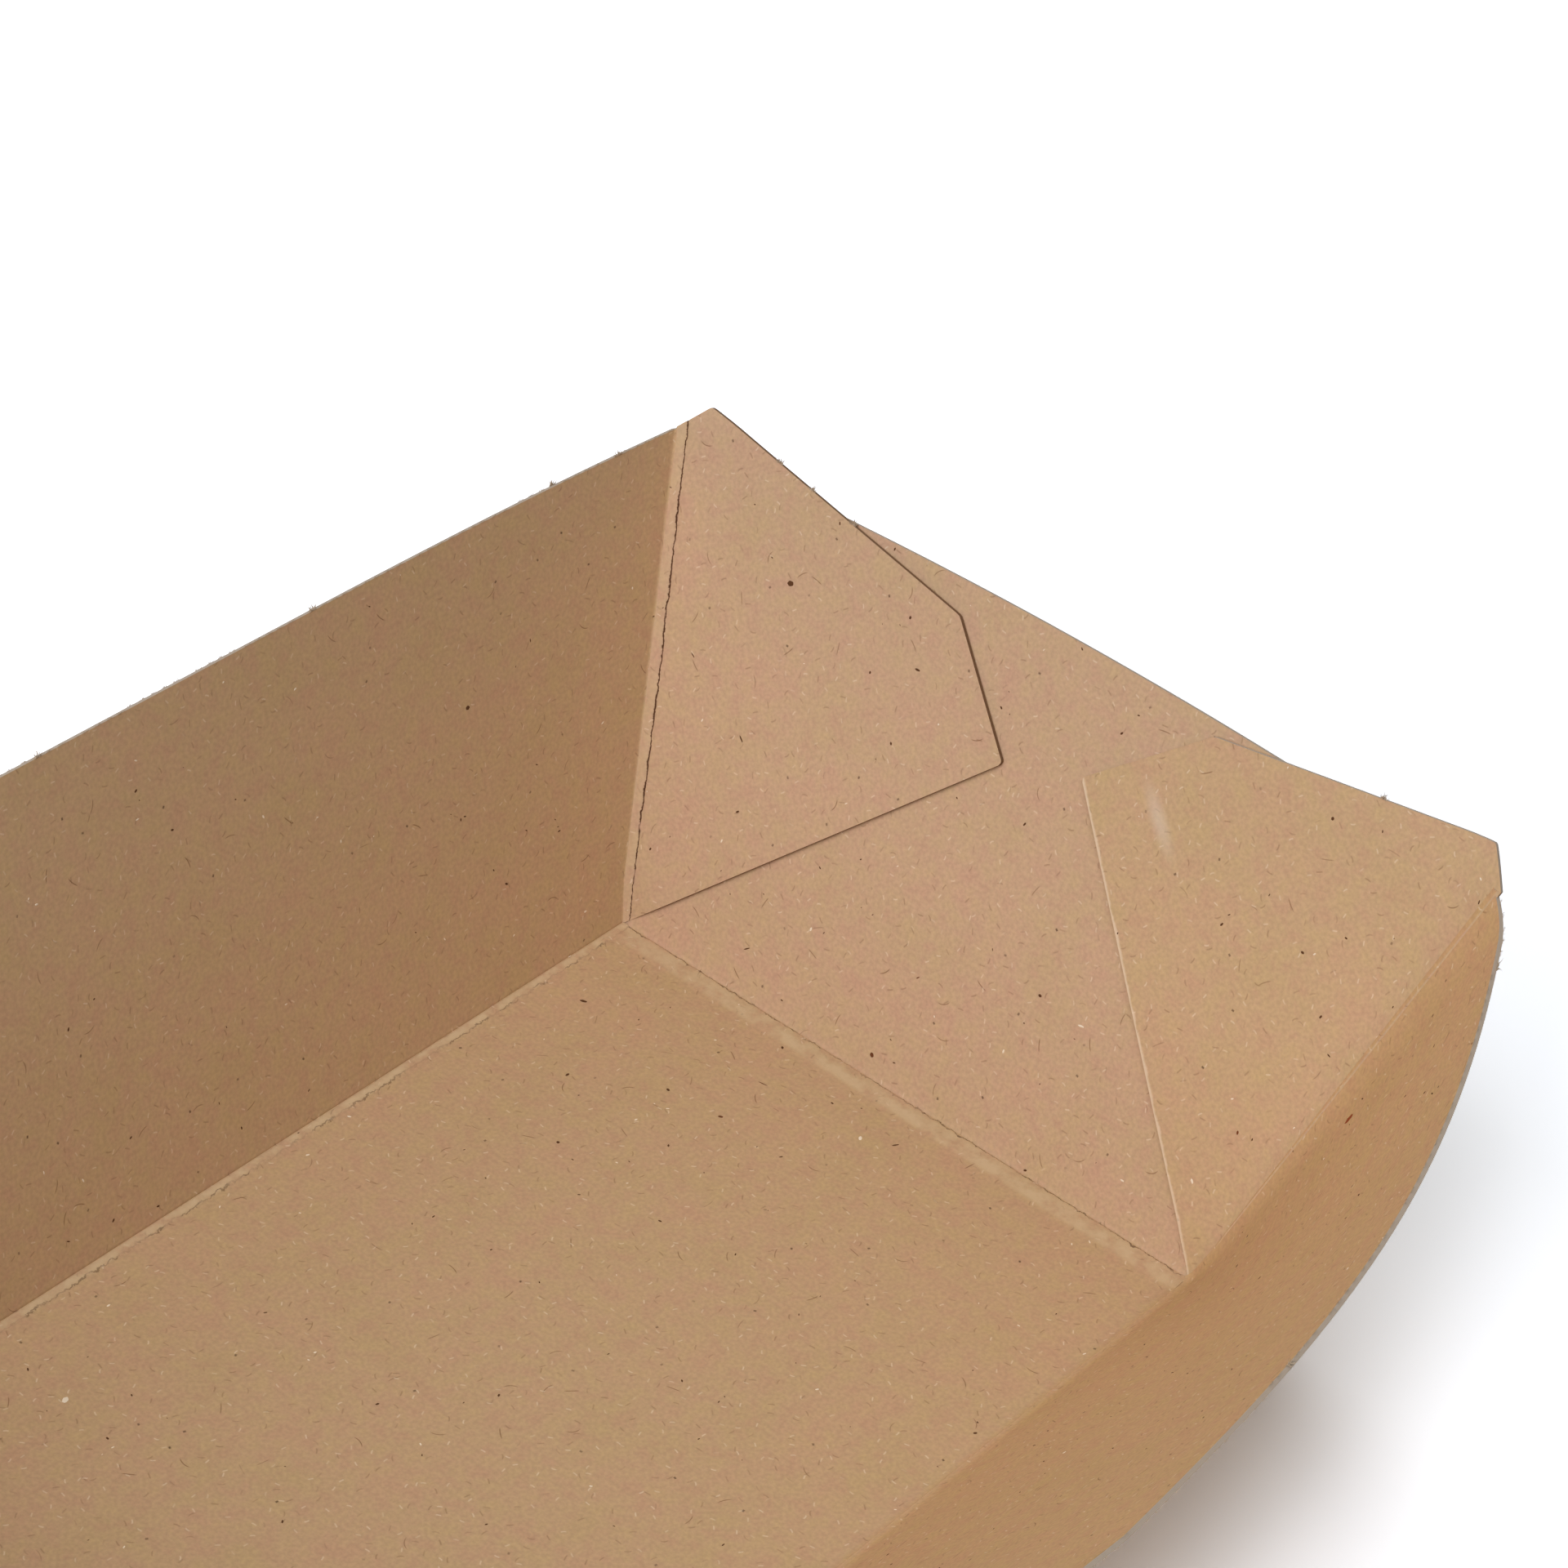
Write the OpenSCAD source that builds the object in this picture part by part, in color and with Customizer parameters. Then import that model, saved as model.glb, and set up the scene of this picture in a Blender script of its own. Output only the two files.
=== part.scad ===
// Food tray folded from one sheet of kraft board and glued at its four corners.
// The end walls are flat. Each long wall is one piece with the glue flaps at its
// ends, which turn in at a crease and lie on the inside of the end walls.
// A long wall bows outwards: a flat triangle stands on its base fold, and beside
// it the board bends along straight lines that fan out from each base corner.

/* [Base] */
// Length of the base between the folds of the end walls
base_l = 130; // [90:1:180]
// Width of the base between the folds of the long walls
base_w = 72; // [50:1:110]
// Thickness of the board
board = 0.45; // [0.3:0.05:0.8]

/* [End walls] */
// Height of an end wall, measured up its slope
end_h = 50; // [35:1:52]
// Lean of an end wall, away from upright
end_lean = 20; // [8:1:30]
// Rise of an end wall's rim at the middle of its width
end_crown = 0.4; // [0:0.1:1]

/* [Long walls] */
// Height of a long wall, measured up its slope
side_h = 48.6; // [40:0.2:51]
// Lean of the far wall at the middle of its length
far_lean = 20; // [16:1:45]
// Lean of the near wall at the middle of its length
near_lean = 41; // [18:1:45]
// Angle between upright and the far wall's crease, in the end wall
far_splay = 15.4; // [8:0.1:20]
// Angle between upright and the near wall's crease, in the end wall
near_splay = 15; // [8:0.1:20]

/* [Glue flaps] */
// Angle from the crease to a flap's lower edge, about the base corner
flap_spread = 58.5; // [30:1:65]
// Length of a flap's lower edge
flap_edge = 49; // [30:0.5:50]
// Angle from the crease to a flap's shoulder, about the base corner
shoulder_spread = 42; // [15:1:45]
// Distance from the base corner to a flap's shoulder
shoulder_r = 52.3; // [40:0.1:53]
// Angle from the crease to a flap's peak, about the base corner
peak_spread = 4; // [1:0.5:6]
// Distance from the base corner to a flap's peak
peak_r = 54.2; // [53:0.1:56]
// Turn of the near flaps towards the near wall, as they were glued
near_turn = 5.5; // [0:0.5:8]
// Rounding of a flap's corners
flap_round = 2; // [0.5:0.1:3]

/* [Glue] */
// Depth to which a glued flap is pressed into the end wall
glue_bite = 0.04; // [0.02:0.01:0.1]

/* [Hidden] */
// Flat sides round a bead
bead_sides = 12;
// Straight bend lines in each fan
fan_steps = 20;
// Facets in a rounded corner of a flap
round_steps = 6;
// Facets along the crown of an end wall's rim
crown_steps = 12;
// Distance by which a panel stops short of a fold's line, inside the fold's bead
seam = board / 4;
// Angle at a base corner between the fold and the line to the middle of the rim
mid_turn = atan2(side_h, base_l / 2);

function unit(v) = v / norm(v);
function mirrored(p) = [-p.x, p.y, p.z];

// Point in an end wall, at a radius and an angle from upright about its base corner
function in_end(r, angle) = [base_w / 2 + r * sin(angle), r * cos(angle)];

// Arc that replaces corner b of the path a, b, c
function arc(a, b, c, r) =
    let (
        u = unit(a - b),
        v = unit(c - b),
        half = acos(u * v) / 2,
        middle = b + unit(u + v) * r / sin(half),
        from = b + u * r / tan(half) - middle,
        to = b + v * r / tan(half) - middle
    )
    [for (i = [0:round_steps])
        let (w = unit(from * (1 - i / round_steps) + to * i / round_steps))
        middle + w * r];

// Direction of a crease, and the lean and turn of a wall's bend line there
function crease_axis(splay) = unit([sin(end_lean), tan(splay), cos(end_lean)]);
function crease_lean(splay) = atan2(tan(splay), cos(end_lean));
function crease_turn(splay) = acos(-crease_axis(splay).x);
function crease_l(splay) = side_h / sin(crease_turn(splay));

// Share of the way through a fan, 0 at the flat triangle and 1 at the crease
function turn_at(share, splay) = mid_turn + share * (crease_turn(splay) - mid_turn);
function lean_at(share, lean, splay) = lean - (lean - crease_lean(splay)) * pow(share, 2);
function lean_rate(share, lean, splay) =
    -2 * share * (lean - crease_lean(splay)) / (crease_turn(splay) - mid_turn);

// Direction of a bend line, and the outward normal of the board along it
function bend_line(turn, lean) = [-cos(turn), sin(turn) * sin(lean), sin(turn) * cos(lean)];
function normal_at(turn, lean, rate) =
    let (
        by_turn = [sin(turn), cos(turn) * sin(lean), cos(turn) * cos(lean)],
        by_lean = [0, sin(turn) * cos(lean), -sin(turn) * sin(lean)]
    )
    unit(cross(bend_line(turn, lean), by_turn + rate * by_lean));

module base() {
    translate([seam - base_l / 2, seam - base_w / 2, 0])
        cube([base_l - 2 * seam, base_w - 2 * seam, board]);
}

// Board with the given outline in the plane of the end wall, from one depth to another
module on_end(outline, from, to) {
    translate([base_l / 2, 0, board])
        rotate([0, end_lean, 0])
            rotate([90, 0, 90])
                translate([0, 0, from])
                    linear_extrude(to - from)
                        polygon(outline);
}

module end_wall() {
    foot = base_w / 2 - seam;
    far = foot + end_h * tan(far_splay);
    near = -foot - end_h * tan(near_splay);
    rim = [for (i = [0:crown_steps])
        let (share = i / crown_steps)
        [near + share * (far - near), end_h + end_crown * sin(180 * share)]];
    on_end(concat([[foot, seam], [-foot, seam]], rim), 0, board);
}

module flap(splay, turn) {
    corner = in_end(0, 0) - [seam, 0];
    crease_top = in_end(crease_l(splay), splay) - [seam, 0];
    peak = in_end(peak_r, splay - peak_spread);
    shoulder = in_end(shoulder_r, splay - shoulder_spread + turn);
    tip = in_end(flap_edge, splay - flap_spread + turn);
    on_end(concat(
        [corner, crease_top],
        arc(crease_top, peak, shoulder, flap_round / 2),
        arc(peak, shoulder, tip, flap_round),
        arc(shoulder, tip, corner, flap_round / 2)
    ), -board, glue_bite);
}

// Bead about the inner line of a fold: it rounds the fold on the
// outside, where it meets both faces, and stands up as a ridge on the inside
module bead(from, to) {
    run = to - from;
    translate(from)
        rotate([0, acos(run.z / norm(run)), atan2(run.y, run.x)])
            rotate(180 / bead_sides)
                cylinder(h = norm(run), r = board, $fn = bead_sides);
}

// Long wall on the +Y side, from its base fold to its rim
module long_wall(lean, splay) {
    corner = [base_l / 2, base_w / 2, board];
    lines = [for (i = [0:fan_steps])
        let (share = i / fan_steps)
        bend_line(turn_at(share, splay), lean_at(share, lean, splay))];
    normals = [for (i = [0:fan_steps])
        let (share = i / fan_steps)
        normal_at(turn_at(share, splay), lean_at(share, lean, splay),
            lean_rate(share, lean, splay))];
    rim = [for (i = [0:fan_steps])
        corner + lines[i] * side_h / sin(turn_at(i / fan_steps, splay))];
    rim_out = [for (i = [0:fan_steps]) rim[i] + board * normals[i]];
    foot_out = [for (i = [0:fan_steps]) corner + board * normals[i]];
    last = 2 * fan_steps;
    inner = 2;
    outer = inner + last + 1;
    foot = outer + last + 1;
    points = concat(
        [mirrored(corner), corner],
        [for (i = [fan_steps:-1:1]) mirrored(rim[i])], rim,
        [for (i = [fan_steps:-1:1]) mirrored(rim_out[i])], rim_out,
        [for (i = [fan_steps:-1:0]) mirrored(foot_out[i])], foot_out
    );
    // Each strip: corner, two rim points, and the foot points under them
    strips = [for (i = [0:last - 1])
        i < fan_steps ? [0, i, foot + i] : [1, i, foot + i + 1]];
    faces = concat(
        [for (s = strips) [s[0], inner + s[1], inner + s[1] + 1]],
        [for (s = strips) [s[2], outer + s[1] + 1, outer + s[1]]],
        [for (s = strips) [s[2], s[2] + 1, outer + s[1] + 1]],
        [for (s = strips) [s[0], s[2] + 1, s[2]]],
        [for (s = strips) [inner + s[1], outer + s[1], outer + s[1] + 1]],
        [for (s = strips) [inner + s[1], outer + s[1] + 1, inner + s[1] + 1]],
        [[0, inner + fan_steps, 1],
         [foot + fan_steps, foot + fan_steps + 1, outer + fan_steps],
         [0, 1, foot + fan_steps + 1, foot + fan_steps],
         [0, foot, outer, inner],
         [1, inner + last, outer + last, foot + last + 1]]
    );
    polyhedron(points, faces);
}

// Everything that belongs to the long wall on the +Y side
module side(lean, splay, turn) {
    corner = [base_l / 2, base_w / 2, board];
    long_wall(lean, splay);
    bead(mirrored(corner), corner);
    for (end = [0, 1])
        mirror([end, 0, 0]) {
            bead(corner, corner + crease_axis(splay) * crease_l(splay));
            flap(splay, turn);
        }
}

module tray() {
    color("#b58d62") {
        base();
        for (end = [0, 1])
            mirror([end, 0, 0]) {
                end_wall();
                bead([base_l / 2, -base_w / 2, board], [base_l / 2, base_w / 2, board]);
            }
        side(far_lean, far_splay, 0);
        mirror([0, 1, 0])
            side(near_lean, near_splay, near_turn);
    }
}

tray();
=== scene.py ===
import math

import bpy
import numpy as np
from mathutils import Matrix, Vector


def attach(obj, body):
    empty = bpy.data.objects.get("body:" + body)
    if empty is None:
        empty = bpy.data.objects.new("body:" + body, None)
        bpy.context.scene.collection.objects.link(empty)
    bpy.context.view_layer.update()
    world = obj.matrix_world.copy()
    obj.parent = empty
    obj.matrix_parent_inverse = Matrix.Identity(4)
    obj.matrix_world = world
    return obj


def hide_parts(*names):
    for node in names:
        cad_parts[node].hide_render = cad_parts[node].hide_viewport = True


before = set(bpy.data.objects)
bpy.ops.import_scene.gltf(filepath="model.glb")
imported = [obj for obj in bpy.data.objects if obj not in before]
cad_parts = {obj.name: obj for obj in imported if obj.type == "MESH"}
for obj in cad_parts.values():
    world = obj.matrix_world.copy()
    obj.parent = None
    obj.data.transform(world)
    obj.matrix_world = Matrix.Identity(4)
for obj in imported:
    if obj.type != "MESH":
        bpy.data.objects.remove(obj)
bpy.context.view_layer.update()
print("packed tray loaded")

mm = 0.001


def linearColor(hexCode):
    # sRGB hex to the linear values that the shader sockets take
    parts = [int(hexCode[i:i + 2], 16) / 255 for i in (1, 3, 5)]
    return [c / 12.92 if c <= 0.04045 else ((c + 0.055) / 1.055) ** 2.4 for c in parts] + [1.0]


def addNode(tree, kind, inputs=None, **settings):
    # adds a node, sets it up and fills or links its inputs
    node = tree.nodes.new(kind)
    for key, value in settings.items():
        setattr(node, key, value)
    for key, value in (inputs or {}).items():
        if isinstance(value, bpy.types.NodeSocket):
            tree.links.new(value, node.inputs[key])
        else:
            node.inputs[key].default_value = value
    return node


# the folded blank, in millimetres and degrees
blank = {
    "baseLength": 130, "baseWidth": 72, "board": 0.45,
    "endHeight": 48.6, "endLean": 20, "endCrown": 1.8,
    "sideHeight": 48.6,
    "flapSpread": 58.5, "flapEdge": 49, "flapRound": (0.4, 1.0, 0.5),
    "shoulderSpread": 42, "shoulderRadius": 52.3,
    "peakSpread": 4, "peakRadius": 54.2,
    "edgeGap": 0.35,  # bare strip between an end wall's cut edge and the crease
    "flapLift": 0.12,  # how far a flap's free edge stands off the end wall
    "flapShift": (-0.27, 0.2),  # the far face of the flap lies on the end wall, its near face shows
    # distances of the rows of points from a fold, and the step between the others
    "foldSteps": [0, .12, .25, .4, .6, .8, 1.05, 1.35, 1.7, 2.1, 2.6, 3.3, 4.2],
    "step": 1.15, "lastStep": 0.3,
    # the same over a flap, in degrees from the crease, about the shoulder and from the lower edge
    "creaseSteps": [0, .15, .3, .45, .65, .9, 1.15, 1.4, 1.7, 2.05, 2.5, 3.1, 3.6, 3.9, 4.1, 4.5, 5.2],
    "shoulderSteps": [-1.2, -.6, -.2, .1, .5, 1.1], "footSteps": [2.4, 1.8, 1.3, .9, .6, .35, .15, 0],
    "turnStep": 1.25,
    "glueGap": 0.02, "liftReach": 5,  # a flap has risen to its place on the end wall this far from the corner
    "freeTurn": (14, 52),  # degrees from the crease at which a flap, and its lower part, may stand off
    "slipReach": 6, "slipTurn": 8, "gapReach": 3,  # where a flap's shift and the bare strip are full
    "farBead": (0.75, 1.25, 30),  # width of the far crease's bead at its foot and from some height on
    "farFoot": 0.4,  # the far flaps' painted edge highlight starts this much above their lower edge
    "probe": 0.5,  # distance over which a wall's slope is measured
}
longWalls = {
    "far": {"sign": 1, "lean": 19, "splay": 15.4, "turn": 0, "even": 0, "power": 3},
    "near": {"sign": -1, "lean": 40.5, "splay": 15, "turn": 5.5, "even": 0.34, "power": 2.1},
}
halfLength, halfWidth, board = blank["baseLength"] / 2, blank["baseWidth"] / 2, blank["board"]
endLean = math.radians(blank["endLean"])
endOutward = np.array([math.cos(endLean), 0, -math.sin(endLean)])
midTurn = math.atan2(blank["sideHeight"], halfLength)
nearZero, slack = 1e-12, 1e-6


def creaseOf(splay):
    # turn of the crease in the blank, and the lean of the long wall along it
    s = math.radians(splay)
    axis = np.array([math.sin(endLean), math.tan(s), math.cos(endLean)])
    return math.acos(-axis[0] / np.linalg.norm(axis)), math.atan2(math.tan(s), math.cos(endLean))


def wallPoints(x, height, wall):
    # a long wall: flat triangle in the middle, bend lines that fan out from each base corner
    creaseTurn, creaseLean = creaseOf(wall["splay"])
    back = halfLength - np.abs(x)
    turn, reach = np.arctan2(height, back), np.hypot(height, back)
    share = np.clip((turn - midTurn) / (creaseTurn - midTurn), 0, None)
    midLean = math.radians(wall["lean"])
    bent = wall["even"] * share + (1 - wall["even"]) * share ** wall["power"]
    lean = midLean - (midLean - creaseLean) * bent
    return np.stack([
        np.where(x < 0, -1, 1) * (halfLength - reach * np.cos(turn)),
        wall["sign"] * (halfWidth + reach * np.sin(turn) * np.sin(lean)),
        board + reach * np.sin(turn) * np.cos(lean)], -1)


def endPoints(across, up, depth, sign):
    # a point in an end wall's own plane
    return np.stack([
        sign * (halfLength + depth * math.cos(endLean) + up * math.sin(endLean)),
        across, board + up * math.cos(endLean) - depth * math.sin(endLean)], -1)


def smooth(value):
    t = np.clip(value, 0, 1)
    return t * t * (3 - 2 * t)


def spread(length, step):
    # positions from 0 to length, close together at both ends
    fine = np.array(blank["foldSteps"])
    count = max(2, round((length - 2 * fine[-1]) / step))
    middle = np.linspace(fine[-1], length - fine[-1], count + 1)[1:-1]
    return np.concatenate([fine, middle, length - fine[::-1]])


def evenly(start, stop, step):
    # even positions from start to stop
    return np.linspace(start, stop, round((stop - start) / step) + 1)


def roundedOutline(corners, radii, steps=8):
    # a flap's outline with its corners rounded
    out = [corners[0], corners[1]]
    for i, radius in enumerate(radii):
        a, b, c = corners[i + 1], corners[i + 2], corners[(i + 3) % len(corners)]
        u, v = (a - b) / np.linalg.norm(a - b), (c - b) / np.linalg.norm(c - b)
        half = math.acos(float(u @ v)) / 2
        middle = b + (u + v) / np.linalg.norm(u + v) * radius / math.sin(half)
        start, stop = b + u * radius / math.tan(half) - middle, b + v * radius / math.tan(half) - middle
        for k in range(steps + 1):
            w = start * (1 - k / steps) + stop * k / steps
            out.append(middle + w / np.linalg.norm(w) * radius)
    return np.array(out)


def reachAt(outline, angle):
    # distance from the base corner to a flap's outline, in one direction
    d = np.array([math.sin(angle), math.cos(angle)])
    best = 0
    for a, b in zip(outline[1:-1], outline[2:]):
        e = b - a
        cross = d[0] * e[1] - d[1] * e[0]
        if abs(cross) < nearZero:
            continue
        t = (a[0] * e[1] - a[1] * e[0]) / cross
        s = (a[0] * d[1] - a[1] * d[0]) / cross
        if -slack <= s <= 1 + slack and t > best:
            best = t
    return best


# vertices, faces and marks of the sheet's inner face
places, flats, marks, faces = [], [], [], []
markNames = [
    "endFold", "farFold", "nearFold", "farCrease", "nearCrease", "flapEdge", "flapFoot", "rimShare"]
noMark = 99.0


def addPoints(xyz, flat, **given):
    # adds a grid of points with their places in the flat blank and their distances from the folds
    start = sum(len(p) for p in places)
    shape = xyz.shape[:-1]
    places.append(xyz.reshape(-1, 3))
    flats.append(flat.reshape(-1, 2))
    row = np.full((int(np.prod(shape)), len(markNames)), noMark)
    row[:, -1] = 0
    for name, value in given.items():
        row[:, markNames.index(name)] = np.broadcast_to(value, shape).reshape(-1)
    marks.append(row)
    return (start + np.arange(int(np.prod(shape)))).reshape(shape)


def addGrid(index, flip):
    # quads between the rows of an index grid; a quad with a doubled corner becomes a triangle
    for i in range(index.shape[0] - 1):
        for j in range(index.shape[1] - 1):
            face = [index[i, j], index[i, j + 1], index[i + 1, j + 1], index[i + 1, j]]
            face = [int(v) for k, v in enumerate(face) if v != face[k - 1]]
            faces.append(face[::-1] if flip else face)


columnX = spread(blank["baseLength"], blank["step"]) - halfLength
columnY = spread(blank["baseWidth"], blank["step"]) - halfWidth
bx, by = np.meshgrid(columnX, columnY)
base = addPoints(
    np.stack([bx, by, np.full_like(bx, board)], -1), np.stack([bx, by], -1),
    endFold=halfLength - np.abs(bx), farFold=halfWidth - by, nearFold=halfWidth + by)
addGrid(base, False)

heights = spread(blank["sideHeight"] * 2, blank["step"])
heights = heights[heights < blank["sideHeight"] - blank["lastStep"]]
heights = heights * (blank["sideHeight"] / heights[-1])
for name, wall in longWalls.items():
    sign, creaseTurn = wall["sign"], creaseOf(wall["splay"])[0]
    # the wall stops where it meets the inner face of the flap
    creaseX = halfLength - heights[1:] / np.tan(creaseTurn)
    lift = (board + blank["glueGap"]) * smooth(heights[1:] / blank["liftReach"])
    inner = wallPoints(creaseX - blank["probe"], heights[1:], wall)
    depth = (wallPoints(creaseX, heights[1:], wall) - inner) @ endOutward / blank["probe"]
    reachX = np.concatenate([[halfLength], creaseX - lift / depth])
    share = columnX / halfLength
    wx, wh = share[None, :] * reachX[:, None], np.repeat(heights[:, None], len(share), 1)
    xyz = wallPoints(wx, wh, wall)
    flat = np.stack([wx, sign * (halfWidth + wh)], -1)
    given = {
        name + "Fold": -wh[1:], name + "Crease": (np.abs(wx) - reachX[:, None])[1:],
        "rimShare": smooth(wh / blank["sideHeight"])[1:]}
    body = addPoints(xyz[1:], flat[1:], **given)
    grid = np.concatenate([(base[-1] if sign > 0 else base[0])[None], body])
    addGrid(grid, sign < 0)

    # its two flaps, from the crease to the lower edge, about the base corner
    splay, turn = math.radians(wall["splay"]), math.radians(wall["turn"])
    tipAngle = splay - math.radians(blank["flapSpread"]) + turn
    peakAngle = splay - math.radians(blank["peakSpread"])
    shoulderAngle = splay - math.radians(blank["shoulderSpread"]) + turn
    corners = [np.array([r * math.sin(angle), r * math.cos(angle)]) for r, angle in (
        (0.0, 0.0), (blank["sideHeight"] / math.sin(creaseTurn), splay), (blank["peakRadius"], peakAngle),
        (blank["shoulderRadius"], shoulderAngle), (blank["flapEdge"], tipAngle))]
    outline = roundedOutline(corners, blank["flapRound"])
    lastAngle = math.atan2(outline[-1][0], outline[-1][1])
    shoulder = blank["shoulderSpread"] - wall["turn"] + np.array(blank["shoulderSteps"])
    foot = math.degrees(splay - lastAngle) - np.array(blank["footSteps"])
    angles = np.concatenate([
        blank["creaseSteps"], evenly(blank["creaseSteps"][-1], shoulder[0], blank["turnStep"])[1:],
        shoulder[1:-1], evenly(shoulder[-1], foot[0], blank["turnStep"]), foot[1:]])
    angles = splay - np.radians(angles[1:])
    fromCrease = (splay - angles)[None, :]
    reach = np.array([reachAt(outline, a) for a in angles])
    for end in (-1, 1):
        column = grid[1:, -1 if end > 0 else 0]
        crease = np.concatenate(places)[column]
        # the crease column in the end wall's plane, about the base corner
        beyond = end * crease[:, 0] - halfLength
        up = (crease[:, 2] - board) * math.cos(endLean) + beyond * math.sin(endLean)
        first = np.arctan2(sign * crease[:, 1] - halfWidth, up)
        shareUp = (heights[1:] / blank["sideHeight"])[:, None]
        a = first[:, None] - fromCrease * ((first - lastAngle) / (splay - lastAngle))[:, None]
        r = shareUp * reach[None, :]
        # a flap stands off the end wall along its lower edge and in its top quarter
        lifts, free = [smooth(fromCrease / math.radians(limit)) for limit in blank["freeTurn"]]
        free = np.maximum(free ** 3, smooth(shareUp * 4 - 3)) * lifts * smooth(shareUp * 2)
        deep = -(board + blank["glueGap"]) * smooth(r / blank["liftReach"]) - blank["flapLift"] * free
        slip = smooth(r / blank["slipReach"]) * smooth(fromCrease / math.radians(blank["slipTurn"]))
        slipAcross, slipUp = blank["flapShift"]
        across = sign * (halfWidth + r * np.sin(a)) + slipAcross * slip
        xyz = endPoints(across, r * np.cos(a) + slipUp * slip, deep, end)
        flatTurn = creaseTurn + fromCrease
        flat = np.stack([
            end * (halfLength - r * np.cos(flatTurn)), sign * (halfWidth + r * np.sin(flatTurn))], -1)
        narrow, wide, wideFrom = blank["farBead"]
        beadWide = narrow + (wide - narrow) * smooth(r / wideFrom) if sign > 0 else 1
        fromFoot = r * (angles - lastAngle)
        given = {
            name + "Crease": r * np.sin(fromCrease) / beadWide,
            "flapEdge": np.minimum(fromFoot, reach - r),
            "flapFoot": fromFoot + (blank["farFoot"] if sign > 0 else 0),
            "rimShare": shareUp * np.ones_like(r)}
        body = addPoints(xyz, flat, **given)
        flap = np.concatenate([column[:, None], body], 1)
        corner = grid[0, -1 if end > 0 else 0]
        flap = np.concatenate([np.full((1, flap.shape[1]), corner), flap])
        addGrid(flap, (sign < 0) != (end < 0))

# the end walls
ups = spread(blank["endHeight"] * 2, blank["step"])
ups = ups[ups < blank["endHeight"] - blank["lastStep"]]
ups = ups * (blank["endHeight"] / ups[-1])
for end in (-1, 1):
    share = (columnY + halfWidth) / blank["baseWidth"]
    rise = ups[:, None] / blank["endHeight"]
    gap = blank["edgeGap"] * smooth(ups / blank["gapReach"])[:, None]
    farEdge, nearEdge = [
        wall["sign"] * (halfWidth - gap + ups[:, None] * math.tan(math.radians(wall["splay"])))
        for wall in longWalls.values()]
    across = nearEdge + share[None, :] * (farEdge - nearEdge)
    up = ups[:, None] + blank["endCrown"] * np.sin(np.pi * share)[None, :] * rise ** 3
    xyz = endPoints(across, up, np.zeros_like(up), end)
    flat = np.stack([end * (halfLength + up), across], -1)
    body = addPoints(xyz[1:], flat[1:], endFold=-up[1:], rimShare=smooth(rise[1:]) * np.ones_like(up[1:]))
    grid = np.concatenate([(base[:, -1] if end > 0 else base[:, 0])[None], body])
    addGrid(grid, end > 0)

places, flats, marks = np.concatenate(places), np.concatenate(flats), np.concatenate(marks)
print("blank folded:", len(places), "points,", len(faces), "faces")


def faceNormals(points, faceList):
    # one normal for each face, from its diagonals
    quads = np.array([f if len(f) == 4 else [f[0], f[1], f[2], f[2]] for f in faceList])
    n = np.cross(points[quads[:, 2]] - points[quads[:, 0]], points[quads[:, 3]] - points[quads[:, 1]])
    tri = quads[:, 2] == quads[:, 3]
    n[tri] = np.cross(
        points[quads[tri, 1]] - points[quads[tri, 0]], points[quads[tri, 2]] - points[quads[tri, 0]])
    return quads, n / np.maximum(np.linalg.norm(n, axis=1, keepdims=True), nearZero ** 2)


def vertexNormals(points, faceList):
    # one normal for each point, and how well it fits the faces round it
    quads, n = faceNormals(points, faceList)
    total = np.zeros_like(points)
    for k in range(4):
        np.add.at(total, quads[:, k], n)
    unit = total / np.maximum(np.linalg.norm(total, axis=1, keepdims=True), nearZero)
    fit, count = np.zeros(len(points)), np.zeros(len(points))
    for k in range(4):
        np.add.at(fit, quads[:, k], (unit[quads[:, k]] * n).sum(1))
        np.add.at(count, quads[:, k], 1)
    return unit, fit / np.maximum(count, 1)


inward, evenness = vertexNormals(places, faces)

# folds: how they are rounded, where the crushed bead stands and where the liner has cracked
folds = {
    "endFold": {"half": 35, "round": 0.5, "rise": 0.35, "bead": (0.15, 2.5), "crack": (0.0, 0.08)},
    "farFold": {"half": 35, "round": 0.35, "rise": 0.8, "bead": (-0.05, 0.95), "crack": (-0.1, 0.07)},
    "nearFold": {"half": 26, "round": 1.6, "bead": None},
    "farCrease": {"half": 39.3, "round": 0.3, "rise": 0.7, "bead": (0.0, 0.97), "crack": (1.0, 0.08),
                  "pale": 0.35},
    # this fold opens out towards the rim
    "nearCrease": {"half": 27.85, "round": 1.4, "widen": 0.09, "bead": None},
}
beadWithin = 9
# dark lines along three folds: the cracked liner, and partly painted shadow of the bead's edge and the groove
crackShadowLines = {
    "endFold": {"at": 0.1, "width": 0.1, "wander": 1.1, "gaps": 0.46, "depth": 0.7},
    "farFold": {"at": 0.9, "width": 0.1, "wander": 1.1, "gaps": 0.55, "depth": 0.55},
    "farCrease": {"at": 1.0, "width": 0.085, "wander": 0.4, "gaps": 0.3, "depth": 1.0},
}
roundBy, beadShare, riseShare, crackShare = [np.zeros(len(places)) for k in range(4)]
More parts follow.
